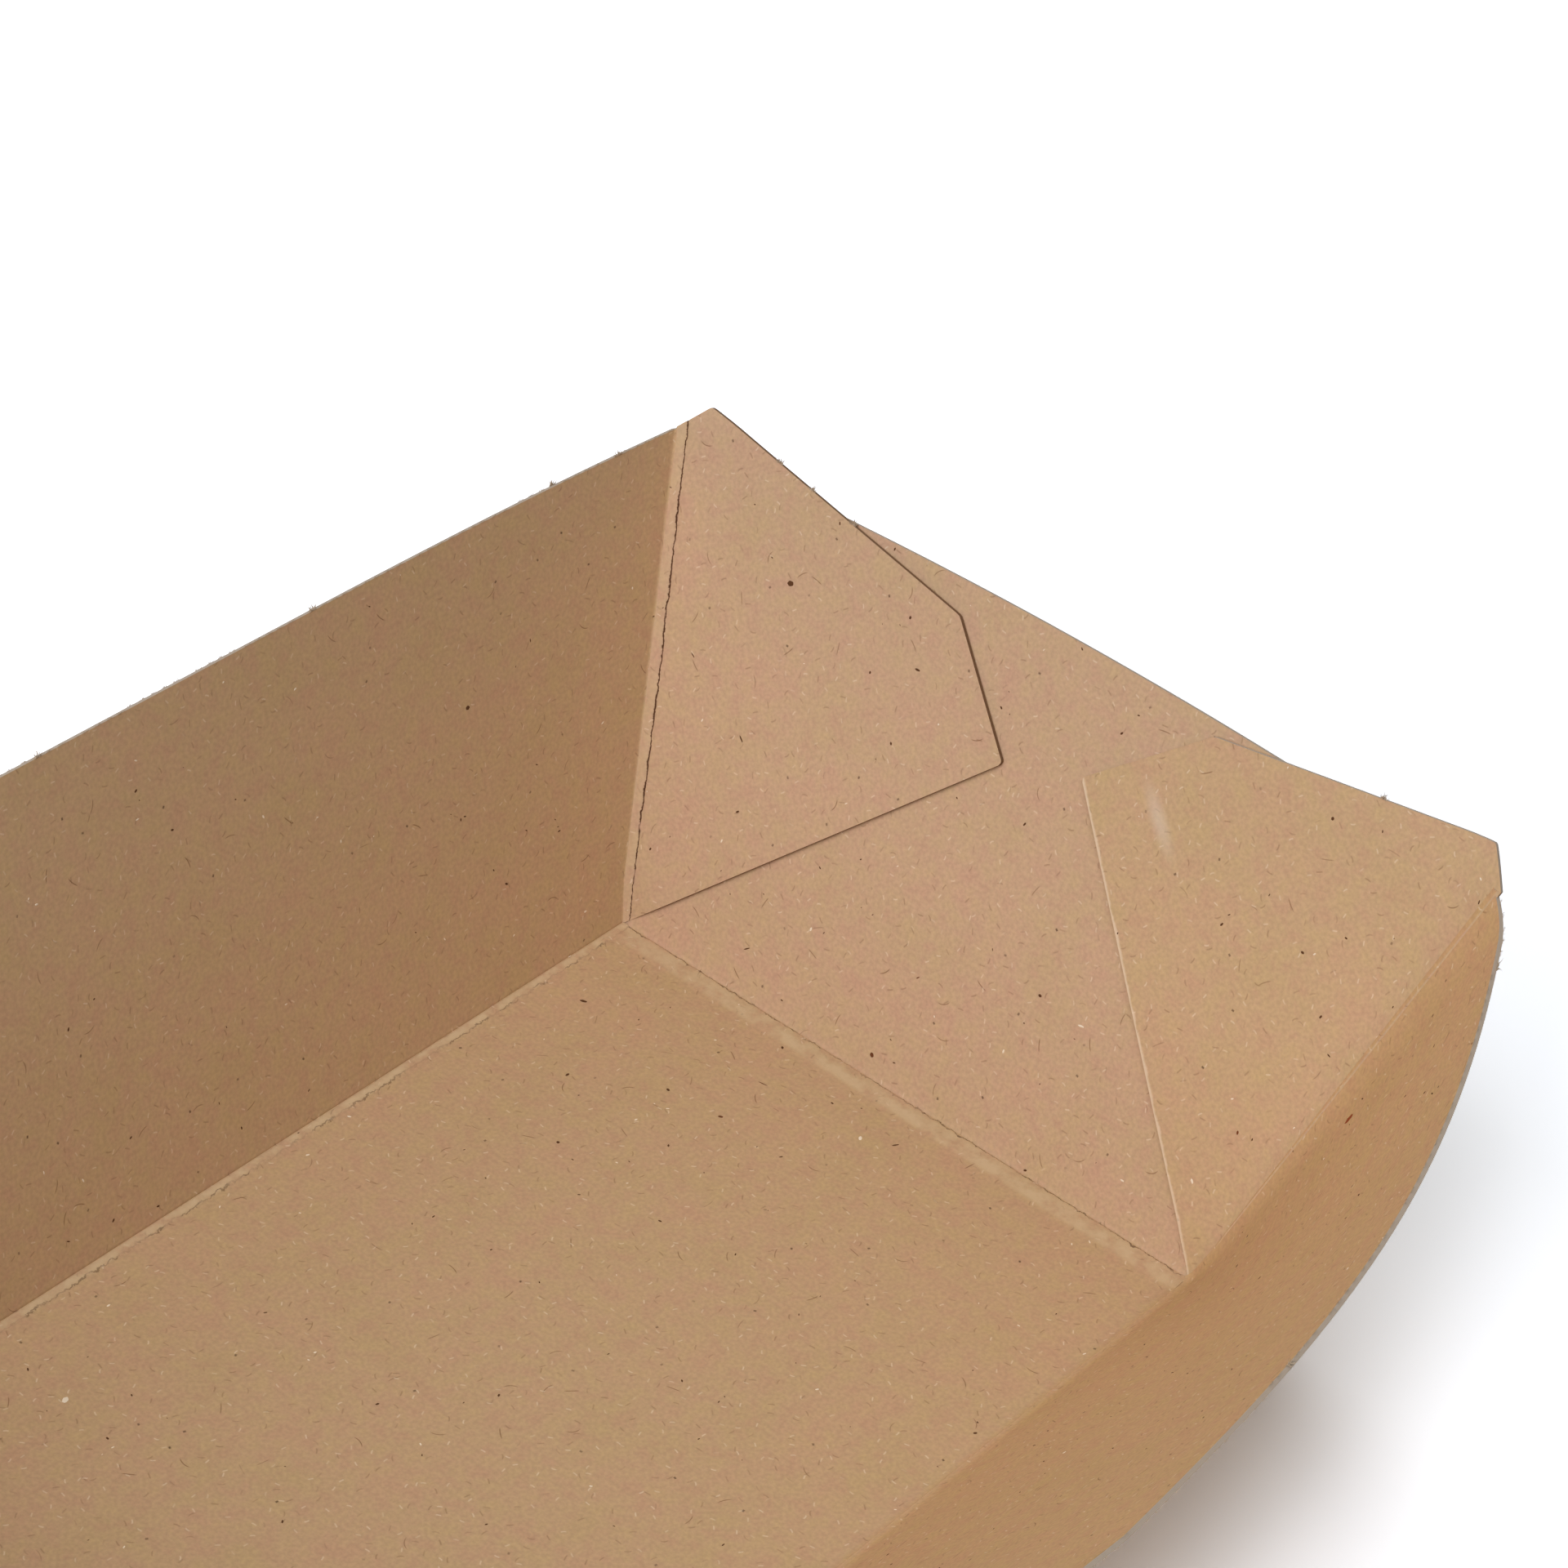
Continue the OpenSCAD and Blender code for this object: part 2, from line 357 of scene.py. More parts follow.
for name, fold in folds.items():
    d = marks[:, markNames.index(name)]
    fromCorner = np.hypot(halfLength - np.abs(flats[:, 0]), np.abs(flats[:, 1]) - halfWidth)
    w = fold["round"] + fold.get("widen", 0) * fromCorner
    slope = math.tan(math.radians(fold["half"]))
    roundBy += np.where(np.abs(d) < w, slope * (w - np.abs(d)) ** 2 / (2 * w), 0)
    if fold["bead"]:
        a, b = fold["bead"]
        t = np.clip((d - a) / (b - a), 0, 1)
        hump = np.sqrt(np.maximum(0, 1 - (2 * t - 1) ** 2)) * (np.abs(d) < beadWithin)
        beadShare = np.maximum(beadShare, hump * fold.get("pale", 1))
        riseShare = np.maximum(riseShare, hump * fold["rise"])
        at, width = fold["crack"]
        crackShare = np.maximum(crackShare, np.clip(1 - np.abs(d - at) / (width * 2), 0, 1))

# painted light: the end wall and the far flap are a little less yellow than the rest, as painted cool light,
# and the base is a little darker, as painted shade
marked = {name: marks[:, i] for i, name in enumerate(markNames)}
basePanel = ((marked["endFold"] >= 0) & (marked["endFold"] < noMark)) * 1.0
nearFlap = (marked["nearCrease"] < noMark) & (marked["nearFold"] == noMark)
warmPanel = ((basePanel > 0) | (marked["farFold"] <= 0) | nearFlap) * 1.0


def markPoints(mesh, start, **values):
    # stores one value for each point from a start index on
    for name, value in values.items():
        wide = value.ndim == 2
        layer = np.zeros((len(mesh.vertices), 3) if wide else len(mesh.vertices), np.float32)
        layer[start:] = value
        mark = mesh.attributes.new(name, "FLOAT_VECTOR" if wide else "FLOAT", "POINT")
        mark.data.foreach_set("vector" if wide else "value", layer.ravel())


leastFit = 0.6
sheetMesh = bpy.data.meshes.new("kraftSheet")
sheetMesh.from_pydata((places * mm).tolist(), [], faces)
uvLayer = sheetMesh.uv_layers.new(name="blankPlace")
loopVertex = np.zeros(len(sheetMesh.loops), np.int32)
sheetMesh.loops.foreach_get("vertex_index", loopVertex)
uvLayer.data.foreach_set("uv", (flats[loopVertex] * 0.01).astype(np.float32).ravel())
markPoints(
    sheetMesh, 0, roundBy=roundBy * mm, beadShare=beadShare, riseShare=riseShare, crackShare=crackShare,
    warmPanel=warmPanel, basePanel=basePanel, inward=inward,
    outward=-inward / np.maximum(evenness, leastFit)[:, None], **marked)
sheetMesh.validate()


# unbleached kraft board, die-cut: brown wood fibres pressed flat, so it is matt and mottled,
# with dark and pale fibres lying every way, and a grey, fibrous cut edge; sizes in millimetres
kraft = {
    "base": "#C2A180", "red": "#C99B83", "olive": "#BAA074",
    "darkFibre": "#7A5535", "paleFibre": "#E6D0B2", "speck": "#4A2F1C",
    # the crack colour is a dark line that is partly painted shadow
    "bead": "#CDB28C", "crack": "#4E2E16", "cut": "#B3A697", "flapCutPaintedShade": "#5E4026", "rubbed": "#E0D0BE",
    # painted light tints: a warmer near wall, slightly warmer panels, and a darker base as painted shade
    "nearWallPaintedWarmth": "#FFF6E0", "warmPanel": "#FFFFF6", "basePanel": "#F9F7F4",
    "roughness": 0.8, "specular": 0.28, "grainHeight": 0.02, "grainStrength": 0.5,
    "noises": {"cloud": (7.0, 2.0), "patch": (2.0, 3.0), "grain": (0.42, 1.0)},  # size and detail
    "noiseRoughness": 0.55, "noiseRange": (0.25, 0.75),
    "lightness": {"grain": (0.93, 1.07), "patch": (0.955, 1.045)},
    "mottle": [  # noise, where its tint starts and where it is full, tint and depth
        ("cloud", 0.5, 0.75, "red", 0.25), ("cloud", 0.5, 0.25, "olive", 0.3),
        ("patch", 0.5, 0.72, "olive", 0.36), ("patch", 0.5, 0.28, "red", 0.36)],
    "panelBlend": 0.8,
    "beadPatches": (0.32, 0.62), "beadLeast": 0.15, "beadDepth": 0.85,
    "wander": {"Scale": 0.8, "Detail": 3.0, "Roughness": 0.7},
    "crackCore": 0.4, "crackFade": (-0.12, 0.06), "crackLeast": 0.25,
    "highlightWander": 0.5, "paintedEdgeHighlight": (0.38, 0.58), "highlightDepth": 0.6,
    "cutDepth": 0.85, "flapRim": (0.5, 1.5), "notNear": (70.0, 90.0),
    "fibreCore": 0.35, "fibreEnds": (0.3, 0.5), "fibreShown": 0.35, "fibreSpread": 0.9,
    "fibres": [
        {"tint": "darkFibre", "cell": 6.5, "length": 1.5, "width": 0.075, "curl": 0.5,
         "chance": 0.5, "depth": 0.75, "shift": (3, 8, 0)},
        {"tint": "darkFibre", "cell": 2.1, "length": 0.8, "width": 0.1, "curl": 0.8,
         "chance": 0.65, "depth": 0.42, "shift": (31, 17, 0)},
        {"tint": "paleFibre", "cell": 1.9, "length": 0.6, "width": 0.1, "curl": 0.8,
         "chance": 0.55, "depth": 0.5, "shift": (57, 5, 0)},
        {"tint": "speck", "cell": 7.5, "length": 0.34, "width": 0.15, "curl": 0.2,
         "chance": 0.45, "depth": 0.8, "shift": (11, 43, 0)},
    ],
}
# a rubbed, whitish streak on the near flap of the +X end, by its place in the flat blank
rubbed = {"place": (104.2, -56.1, 0), "turn": -13, "length": 5.2, "width": 1.3, "depth": 0.36}


def newMaterial(name):
    # an empty material and its node tree
    material = bpy.data.materials.new(name)
    material.use_nodes = True
    material.node_tree.nodes.clear()
    return material, material.node_tree


fullTurn = 6.283


def fibreLayer(tree, place, fibre):
    # one bent fibre in each Voronoi cell, turned at random
    moved = addNode(tree, "ShaderNodeVectorMath", {0: place, 1: fibre["shift"]}, operation="ADD").outputs[0]
    cell = addNode(
        tree, "ShaderNodeTexVoronoi",
        {"Vector": moved, "Scale": 1 / fibre["cell"], "Randomness": kraft["fibreSpread"]},
        voronoi_dimensions="2D").outputs
    chance = addNode(tree, "ShaderNodeSeparateColor", {0: cell["Color"]}).outputs
    local = addNode(
        tree, "ShaderNodeVectorMath", {0: moved, 1: cell["Position"]}, operation="SUBTRACT").outputs[0]
    turn = addNode(tree, "ShaderNodeMath", {0: chance[0], 1: fullTurn}, operation="MULTIPLY").outputs[0]
    turned = addNode(
        tree, "ShaderNodeVectorRotate", {"Vector": local, "Angle": turn}, rotation_type="Z_AXIS").outputs[0]
    axes = addNode(tree, "ShaderNodeSeparateXYZ", {0: turned}).outputs
    bow = addNode(tree, "ShaderNodeMath", {0: axes[0], 1: axes[0]}, operation="MULTIPLY").outputs[0]
    bend = addNode(
        tree, "ShaderNodeMath", {0: chance[1], 1: 2 * fibre["curl"], 2: -fibre["curl"]},
        operation="MULTIPLY_ADD").outputs[0]
    away = addNode(
        tree, "ShaderNodeMath", {0: bow, 1: bend, 2: axes[1]}, operation="MULTIPLY_ADD").outputs[0]
    away = addNode(tree, "ShaderNodeMath", {0: away}, operation="ABSOLUTE").outputs[0]
    along = addNode(tree, "ShaderNodeMath", {0: axes[0]}, operation="ABSOLUTE").outputs[0]
    core = fibre["width"] * kraft["fibreCore"]
    ends = [fibre["length"] * share for share in kraft["fibreEnds"]]
    across = addNode(
        tree, "ShaderNodeMapRange", {
            "Value": away, "From Min": core, "From Max": fibre["width"], "To Min": 1.0,
            "To Max": 0.0}).outputs[0]
    along = addNode(
        tree, "ShaderNodeMapRange",
        {"Value": along, "From Min": ends[0], "From Max": ends[1], "To Min": 1.0, "To Max": 0.0}).outputs[0]
    shown = addNode(
        tree, "ShaderNodeMapRange",
        {"Value": chance[2], "From Min": 1 - fibre["chance"], "From Max": 1.0}).outputs[0]
    shown = addNode(
        tree, "ShaderNodeMath", {0: shown, 1: kraft["fibreShown"]}, operation="POWER").outputs[0]
    mask = addNode(tree, "ShaderNodeMath", {0: across, 1: along}, operation="MULTIPLY").outputs[0]
    return addNode(tree, "ShaderNodeMath", {0: mask, 1: shown}, operation="MULTIPLY").outputs[0]


def layTint(tree, under, mask, hexCode, depth, how="MIX"):
    # lays a colour over another where the mask says so
    share = addNode(
        tree, "ShaderNodeMath", {0: mask, 1: depth}, operation="MULTIPLY", use_clamp=True).outputs[0]
    return addNode(
        tree, "ShaderNodeMix", {0: share, 6: under, 7: linearColor(hexCode)}, data_type="RGBA",
        blend_type=how).outputs[2]


def kraftBoard():
    material, tree = newMaterial("unbleached_kraft_board")
    uv = addNode(tree, "ShaderNodeUVMap", uv_map="blankPlace").outputs[0]
    # the UV map holds the place in the flat blank in units of 100 mm; place is in millimetres
    place = addNode(
        tree, "ShaderNodeVectorMath", {0: uv, 1: (100, 100, 100)}, operation="MULTIPLY").outputs[0]
    noises = {
        name: addNode(
            tree, "ShaderNodeTexNoise",
            {"Vector": place, "Scale": 1 / size, "Detail": detail, "Roughness": kraft["noiseRoughness"]},
            noise_dimensions="2D").outputs[0]
        for name, (size, detail) in kraft["noises"].items()}
    patch = noises["patch"]
    read = {
        name: addNode(tree, "ShaderNodeAttribute", attribute_name=name).outputs["Fac"]
        for name in (
            *crackShadowLines, "nearFold", "warmPanel", "basePanel", "beadShare", "flapFoot", "flapEdge",
            "nearCrease", "cutEdge")}

    # pinkish and olive clouds of fibre, lighter and darker grain
    color = linearColor(kraft["base"])
    for name, start, full, tint, depth in kraft["mottle"]:
        mask = addNode(
            tree, "ShaderNodeMapRange",
            {"Value": noises[name], "From Min": start, "From Max": full}).outputs[0]
        color = layTint(tree, color, mask, kraft[tint], depth)
    low, high = kraft["noiseRange"]
    for name, (darkest, lightest) in kraft["lightness"].items():
        light = addNode(
            tree, "ShaderNodeMapRange", {
                "Value": noises[name], "From Min": low, "From Max": high, "To Min": darkest,
                "To Max": lightest}).outputs[0]
        color = addNode(tree, "ShaderNodeVectorMath", {0: color, 3: light}, operation="SCALE").outputs[0]

    # painted light: the near wall is warmer, as painted warm light, other panels a little, and the base is
    # darker, as painted shade
    nearWallPaintedWarmth = addNode(
        tree, "ShaderNodeMapRange", {
            "Value": read["nearFold"], "From Min": kraft["panelBlend"],
            "From Max": -kraft["panelBlend"]}).outputs[0]
    for mask, tint in (
        (nearWallPaintedWarmth, "nearWallPaintedWarmth"), (read["warmPanel"], "warmPanel"), (read["basePanel"], "basePanel")):
        color = layTint(tree, color, mask, kraft[tint], 1.0, "MULTIPLY")
    for fibre in kraft["fibres"]:
        color = layTint(tree, color, fibreLayer(tree, place, fibre), kraft[fibre["tint"]], fibre["depth"])

    # crushed beads beside the creases are paler; a dark line along them is partly cracked liner, partly
    # painted shadow
    low, high = kraft["beadPatches"]
    ragged = addNode(
        tree, "ShaderNodeMapRange", {
            "Value": patch, "From Min": low, "From Max": high, "To Min": kraft["beadLeast"],
            "To Max": 1.0}).outputs[0]
    bead = addNode(
        tree, "ShaderNodeMath", {0: read["beadShare"], 1: ragged}, operation="MULTIPLY").outputs[0]
    color = layTint(tree, color, bead, kraft["bead"], kraft["beadDepth"])
    wander = addNode(
        tree, "ShaderNodeTexNoise", {"Vector": place, **kraft["wander"]}, noise_dimensions="2D").outputs[0]
    fadeStart, fadeEnd = kraft["crackFade"]
    for name, line in crackShadowLines.items():
        away = addNode(
            tree, "ShaderNodeMath", {0: wander, 1: line["wander"], 2: read[name]},
            operation="MULTIPLY_ADD").outputs[0]
        away = addNode(
            tree, "ShaderNodeMath", {0: away, 1: line["at"] + line["wander"] / 2},
            operation="SUBTRACT").outputs[0]
        away = addNode(tree, "ShaderNodeMath", {0: away}, operation="ABSOLUTE").outputs[0]
        mask = addNode(
            tree, "ShaderNodeMapRange", {
                "Value": away, "From Min": line["width"] * kraft["crackCore"], "From Max": line["width"],
                "To Min": 1.0, "To Max": 0.0}).outputs[0]
        gaps = addNode(
            tree, "ShaderNodeMapRange", {
                "Value": patch, "From Min": line["gaps"] + fadeStart, "From Max": line["gaps"] + fadeEnd,
                "To Min": kraft["crackLeast"], "To Max": 1.0}).outputs[0]
        mask = addNode(tree, "ShaderNodeMath", {0: mask, 1: gaps}, operation="MULTIPLY").outputs[0]
        color = layTint(tree, color, mask, kraft["crack"], line["depth"])

    # a thin pale line is painted along the flaps' lower edges: painted highlight of their lit cut edges
    low, high = kraft["paintedEdgeHighlight"]
    paintedEdgeHighlight = addNode(
        tree, "ShaderNodeMath", {0: patch, 1: kraft["highlightWander"], 2: read["flapFoot"]},
        operation="MULTIPLY_ADD").outputs[0]
    paintedEdgeHighlight = addNode(
        tree, "ShaderNodeMapRange",
        {"Value": paintedEdgeHighlight, "From Min": low, "From Max": high, "To Min": 1.0, "To Max": 0.0}).outputs[0]
    color = layTint(tree, color, paintedEdgeHighlight, kraft["paleFibre"], kraft["highlightDepth"])

    # cut edges: grey fibres along the rims and near flaps, and darker brown painted shade where a far flap
    # ends
    low, high = kraft["flapRim"]
    onFlap = addNode(
        tree, "ShaderNodeMapRange", {
            "Value": read["flapEdge"], "From Min": low, "From Max": high, "To Min": 1.0,
            "To Max": 0.0}).outputs[0]
    low, high = kraft["notNear"]
    farOne = addNode(
        tree, "ShaderNodeMapRange",
        {"Value": read["nearCrease"], "From Min": low, "From Max": high}).outputs[0]
    onFlap = addNode(tree, "ShaderNodeMath", {0: onFlap, 1: farOne}, operation="MULTIPLY").outputs[0]
    edgeTone = layTint(tree, linearColor(kraft["cut"]), onFlap, kraft["flapCutPaintedShade"], 1.0)
    cut = addNode(
        tree, "ShaderNodeMath", {0: read["cutEdge"], 1: kraft["cutDepth"]}, operation="MULTIPLY").outputs[0]
    color = addNode(tree, "ShaderNodeMix", {0: cut, 6: color, 7: edgeTone}, data_type="RGBA").outputs[2]

    # a rubbed streak across the near flap
    streak = addNode(
        tree, "ShaderNodeMapping", {
            "Vector": place, "Location": rubbed["place"], "Rotation": (0, 0, math.radians(rubbed["turn"])),
            "Scale": (rubbed["length"], rubbed["width"], 1)},
        vector_type="TEXTURE").outputs[0]
    streak = addNode(tree, "ShaderNodeVectorMath", {0: streak}, operation="LENGTH").outputs["Value"]
    streak = addNode(
        tree, "ShaderNodeMapRange", {"Value": streak, "From Min": 1.0, "From Max": 0.0},
        interpolation_type="SMOOTHSTEP").outputs[0]
    color = layTint(tree, color, streak, kraft["rubbed"], rubbed["depth"])
    bump = addNode(
        tree, "ShaderNodeBump", {
            "Height": noises["grain"], "Strength": kraft["grainStrength"],
            "Distance": kraft["grainHeight"] * mm}).outputs[0]
    surface = addNode(
        tree, "ShaderNodeBsdfPrincipled", {
            "Base Color": color, "Roughness": kraft["roughness"], "Specular IOR Level": kraft["specular"],
            "Normal": bump})
    addNode(tree, "ShaderNodeOutputMaterial", {"Surface": surface.outputs[0]})
    return material


# the sheet gets its folds, its slight waves and its thickness; the scales are waves per metre
sheetForm = {
    "Board": board * mm, "Bead height": 0.2 * mm, "Crack depth": 0.1 * mm, "Wave": 0.12 * mm,
    "Ragged scale": 900.0, "Wave scale": 38.0,
}
mergeWithin = 1e-7
sharpFrom = 38


def newTree(name, inputs):
    # a geometry tree with a mesh, named values and a material going in and a mesh coming out
    tree = bpy.data.node_groups.new(name, "GeometryNodeTree")
    tree.interface.new_socket("Geometry", in_out="INPUT", socket_type="NodeSocketGeometry")
    for title, value in inputs.items():
        kind = "NodeSocketInt" if isinstance(value, int) else "NodeSocketFloat"
        tree.interface.new_socket(title, in_out="INPUT", socket_type=kind).default_value = value
    tree.interface.new_socket("Material", in_out="INPUT", socket_type="NodeSocketMaterial")
    tree.interface.new_socket("Geometry", in_out="OUTPUT", socket_type="NodeSocketGeometry")
    return tree, addNode(tree, "NodeGroupInput").outputs


def endTree(tree, geometry, material):
    # realizes what a tree has made and paints it
    whole = addNode(tree, "GeometryNodeRealizeInstances", {"Geometry": geometry}).outputs[0]
    painted = addNode(tree, "GeometryNodeSetMaterial", {"Geometry": whole, "Material": material}).outputs[0]
    addNode(tree, "NodeGroupOutput", {"Geometry": painted})
    return tree


def sheetTree():
    tree, entry = newTree("boardSheet", sheetForm)
    read = {
        name: addNode(tree, "GeometryNodeInputNamedAttribute", {"Name": name}, data_type=kind).outputs[0]
        for name, kind in (
            ("riseShare", "FLOAT"), ("roundBy", "FLOAT"), ("crackShare", "FLOAT"), ("rimShare", "FLOAT"),
            ("inward", "FLOAT_VECTOR"), ("outward", "FLOAT_VECTOR"))}
    place = addNode(tree, "GeometryNodeInputPosition").outputs[0]
    ragged = addNode(
        tree, "ShaderNodeTexNoise",
        {"Vector": place, "Scale": entry["Ragged scale"], "Detail": 2.0}).outputs[0]
    wave = addNode(
        tree, "ShaderNodeTexNoise",
        {"Vector": place, "Scale": entry["Wave scale"], "Detail": 1.0}).outputs[0]
    bead = addNode(
        tree, "ShaderNodeMath", {0: read["riseShare"], 1: ragged}, operation="MULTIPLY").outputs[0]
    bead = addNode(
        tree, "ShaderNodeMath", {0: bead, 1: entry["Bead height"]}, operation="MULTIPLY").outputs[0]
    bead = addNode(
        tree, "ShaderNodeMath", {0: bead, 1: 2.0, 2: read["roundBy"]}, operation="MULTIPLY_ADD").outputs[0]
    crack = addNode(
        tree, "ShaderNodeMath", {0: read["crackShare"], 1: entry["Crack depth"]},
        operation="MULTIPLY").outputs[0]
    height = addNode(tree, "ShaderNodeMath", {0: bead, 1: crack}, operation="SUBTRACT").outputs[0]
    swing = addNode(tree, "ShaderNodeMath", {0: wave, 1: 0.5}, operation="SUBTRACT").outputs[0]
    swing = addNode(
        tree, "ShaderNodeMath", {0: swing, 1: read["rimShare"]}, operation="MULTIPLY").outputs[0]
    height = addNode(
        tree, "ShaderNodeMath", {0: swing, 1: entry["Wave"], 2: height},
        operation="MULTIPLY_ADD").outputs[0]
    shift = addNode(
        tree, "ShaderNodeVectorMath", {0: read["inward"], 3: height}, operation="SCALE").outputs[0]
    inner = addNode(
        tree, "GeometryNodeSetPosition", {"Geometry": entry["Geometry"], "Offset": shift}).outputs[0]
    turned = addNode(tree, "GeometryNodeFlipFaces", {"Mesh": inner}).outputs[0]
    thick = addNode(
        tree, "GeometryNodeExtrudeMesh", {"Mesh": turned, "Offset Scale": 0.0, "Individual": False},
        mode="FACES").outputs
    step = addNode(
        tree, "ShaderNodeVectorMath", {0: read["outward"], 3: entry["Board"]}, operation="SCALE").outputs[0]
    outer = addNode(
        tree, "GeometryNodeSetPosition",
        {"Geometry": thick["Mesh"], "Selection": thick["Top"], "Offset": step}).outputs[0]
    outer = addNode(
        tree, "GeometryNodeStoreNamedAttribute",
        {"Geometry": outer, "Name": "cutEdge", "Value": thick["Side"]}, data_type="FLOAT",
        domain="FACE").outputs[0]
    both = addNode(tree, "GeometryNodeJoinGeometry")
    for part in (inner, outer):
        tree.links.new(part, both.inputs[0])
    closed = addNode(
        tree, "GeometryNodeMergeByDistance",
        {"Geometry": both.outputs[0], "Distance": mergeWithin}).outputs[0]
    return endTree(tree, closed, entry["Material"])


def growMesh(name, mesh, tree, values):
    # runs a node tree on a mesh and returns the result as a plain object
    source = bpy.data.objects.new(name + "Source", mesh)
    bpy.context.scene.collection.objects.link(source)
    modifier = source.modifiers.new("grow", "NODES")
    modifier.node_group = tree
    for item in tree.interface.items_tree:
        if item.in_out == "INPUT" and item.name in values:
            modifier[item.identifier] = values[item.name]
    graph = bpy.context.evaluated_depsgraph_get()
    result = bpy.data.meshes.new_from_object(
        source.evaluated_get(graph), depsgraph=graph, preserve_all_data_layers=True)
    source.modifiers.remove(modifier)
    bpy.data.objects.remove(source)
    result.name = name
    grown = bpy.data.objects.new(name, result)
    bpy.context.scene.collection.objects.link(grown)
    return grown


sheet = growMesh("kraft_sheet", sheetMesh, sheetTree(), {**sheetForm, "Material": kraftBoard()})
sheet.data.shade_smooth()
sheet.data.set_sharp_from_angle(angle=math.radians(sharpFrom))
print("sheet made:", len(sheet.data.polygons), "faces")

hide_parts("tray")
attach(sheet, "root")


def wallSpot(x, height, name, reach=0.1):
    # a place on a long wall, with the direction the board's inside faces there
    wall = longWalls[name]
    spot = wallPoints(np.array(x), np.array(height), wall)
    beside = wallPoints(np.array(x + reach), np.array(height), wall)
    above = wallPoints(np.array(x), np.array(height + reach), wall)
    away = np.cross(beside - spot, above - spot) * wall["sign"]
    return spot, away / np.linalg.norm(away)


# flecks of bark and pale knots in the board; place in millimetres on its panel, length, width and turn;
# tone 0 is dark, 0.5 red-brown, 1 pale; a few are those that the photo shows and the rest are scattered
flecks = {
    "density": 15000.0, "seed": 7, "size": (0.18, 0.5), "thin": (0.3, 0.6), "thick": 0.035, "pale": 0.3,
    "turn": 6.28, "dark": "#5A3A22", "tones": {0.0: "#8E4524", 0.5: "#E9D8BE"}, "flapDepth": board + 0.2,
    "flap": [
        (31.2, 41.2, .85, .65, 110, 0), (38.9, 29.4, .7, .14, 60, 0), (30.3, 24.3, .9, .2, 50, 0),
        (17.3, 44.3, .4, .3, 0, 0), (14.5, 40.0, .7, .28, 95, 0), (19.3, 37.3, .35, .25, 0, 0),
        (14.3, 32.0, .4, .25, 30, 0), (10.2, 36.2, .25, .2, 0, 1), (-31.3, 47.6, .42, .36, 0, 0),
        (-33.7, 34.7, .42, .3, 80, 0), (-40.1, 27.2, .5, .16, 70, 0), (-34.8, 15.8, .5, .25, 10, .2),
        (-32.5, 9.1, .6, .3, 40, 1)],
    "end": [
        (-10.4, 17.1, .45, .35, 90, 0), (21.5, 4.9, .9, .16, 130, 0), (4.1, 2.3, .6, .5, 40, .1),
        (15.5, 10.4, .5, .25, 0, 1), (-15.6, 16.6, .8, .25, 100, 1), (-25.7, 5.1, .5, .22, 90, 1),
        (2.5, 12.0, .5, .14, 140, .1)],
    "base": [
        (52.6, 30.5, .9, .4, 115, 0), (43.0, 24.1, .6, .3, 0, 0), (48.7, 15.9, .5, .35, 70, 0),
        (62.1, 12.3, .5, .3, 40, 0), (49.5, 9.8, .6, .35, 120, .1), (34.9, 18.1, .4, .4, 0, 0),
        (56.4, 10.1, 1.2, .12, 100, .1), (59.1, -4.6, .9, .2, 150, 0), (57.3, -1.6, .7, .4, 30, 1),
        (-23.0, 25.0, .9, .6, 20, 1)],
    "far": [(48.8, 31.3, .6, .5, 0, 0)],
    "near": [(68.9, 26.6, 1.5, .75, 125, .5)],
}
spots = []
for name in ("flap", "end", "base", "far", "near"):
    for a, b, length, width, turn, tone in flecks[name]:
        if name == "base":
            spot, away = np.array([a, b, board]), np.array([0, 0, 1.0])
        elif name in longWalls:
            spot, away = wallSpot(a, b, name)
        else:
            spot, away = endPoints(a, b, -flecks["flapDepth"] if name == "flap" else 0, 1), -endOutward
        spots.append((*spot * mm, *away, length * mm / 2, width * mm / 2, math.radians(turn), tone))
spots = np.array(spots)

fleckMesh = sheet.data.copy()
oldCount = len(fleckMesh.vertices)
fleckMesh.vertices.add(len(spots))
for k, row in enumerate(spots):
    fleckMesh.vertices[oldCount + k].co = row[:3]
markPoints(
    fleckMesh, oldCount, given=np.ones(len(spots)), facing=spots[:, 3:6],
    long=spots[:, 6], wide=spots[:, 7], turn=spots[:, 8], tone=spots[:, 9])
fleckForm = {"Density": flecks["density"], "Thickness": flecks["thick"] * mm, "Seed": flecks["seed"]}


